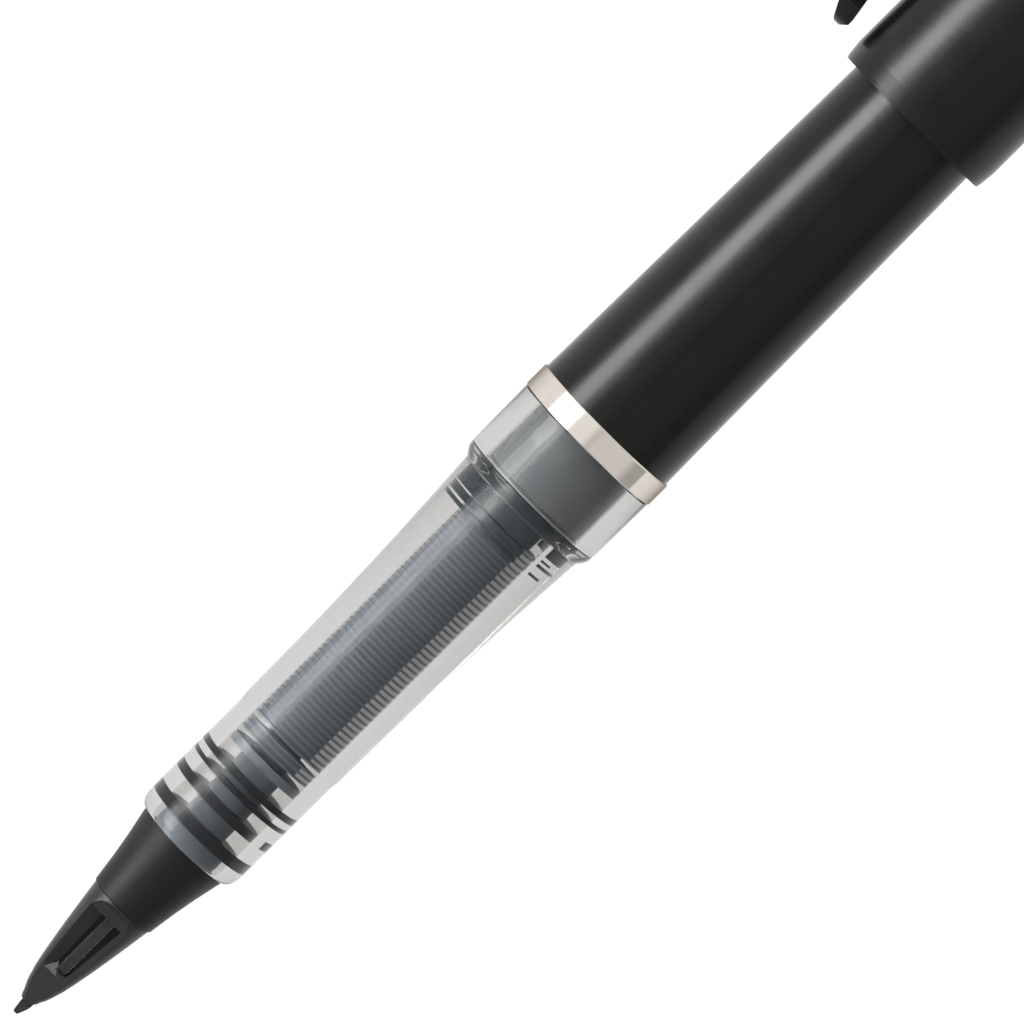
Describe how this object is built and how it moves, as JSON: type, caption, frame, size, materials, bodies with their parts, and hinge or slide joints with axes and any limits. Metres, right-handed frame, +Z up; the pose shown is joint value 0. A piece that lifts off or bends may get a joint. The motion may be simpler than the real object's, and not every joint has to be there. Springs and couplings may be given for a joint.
{
  "type": "refillable sketch pen",
  "caption": "Posted sketch pen: flexible plastic point between fins, clear finned-collector grip, chrome ring, tapered black barrel, clip cap.",
  "frame": {"origin": "on the ground under the middle of the box of the posted pen", "axes": "+X along the pen from the point to the closed end of the cap, +Y to the side on which the clip stands, +Z up"},
  "size_m": [0.156, 0.0174, 0.0138],
  "materials": {
    "nib_plastic": "semi-gloss moulded",
    "holder_plastic": "satin moulded",
    "wick_fibre": "ink-soaked bonded fibre",
    "seal_dark": "smooth",
    "clear_plastic": "clear, polished",
    "collector_plastic": "smooth moulded, ink stained",
    "plug_dark": "smooth moulded",
    "gasket_pale": "smooth",
    "tank_plastic": "smooth moulded",
    "trim_chrome": "warm polished plating",
    "barrel_plastic": "satin, fine grain",
    "cap_plastic": "satin, fine grain",
    "liner_plastic": "smooth moulded",
    "gloss_black": "high gloss"
  },
  "bodies": {
    "barrel": {"barrel": "barrel_plastic", "trim_ring": "trim_chrome"},
    "refill": {"section_shell": "clear_plastic", "collector": "collector_plastic", "nib_holder": "holder_plastic", "ink_wick": "wick_fibre", "seal_ring_front": "seal_dark", "seal_ring_middle": "seal_dark", "seal_ring_thin": "seal_dark", "seal_ring_rear": "seal_dark", "tank_plug": "plug_dark", "tank_gasket": "gasket_pale", "ink_tank": "tank_plastic", "tank_end_plug": "tank_plastic"},
    "nib": {"nib_core": "nib_plastic", "nib_fins": "nib_plastic"},
    "cap": {"cap_shell": "cap_plastic", "inner_cap": "liner_plastic", "cap_top": "cap_plastic"},
    "clip": {"clip": "gloss_black"}
  },
  "joints": [
    {"name": "refill_slide", "type": "slide", "parent": "barrel", "child": "refill", "axis": [-1, 0, 0], "range_m": [0, 0.065]},
    {"name": "cap_slide", "type": "slide", "parent": "barrel", "child": "cap", "axis": [1, 0, 0], "range_m": [0, 0.045]},
    {"name": "nib_flex", "type": "hinge", "parent": "refill", "child": "nib", "pos_m": [-0.06556, -0.0018, 0.0069], "axis": [0, 0, 1], "range_deg": [-1, 1], "stiffness_Nm_per_rad": 0.5},
    {"name": "clip_flex", "type": "hinge", "parent": "cap", "child": "clip", "pos_m": [0.073, 0.00795, 0.0069], "axis": [0, 0, -1], "range_deg": [0, 3.5], "stiffness_Nm_per_rad": 1}
  ]
}
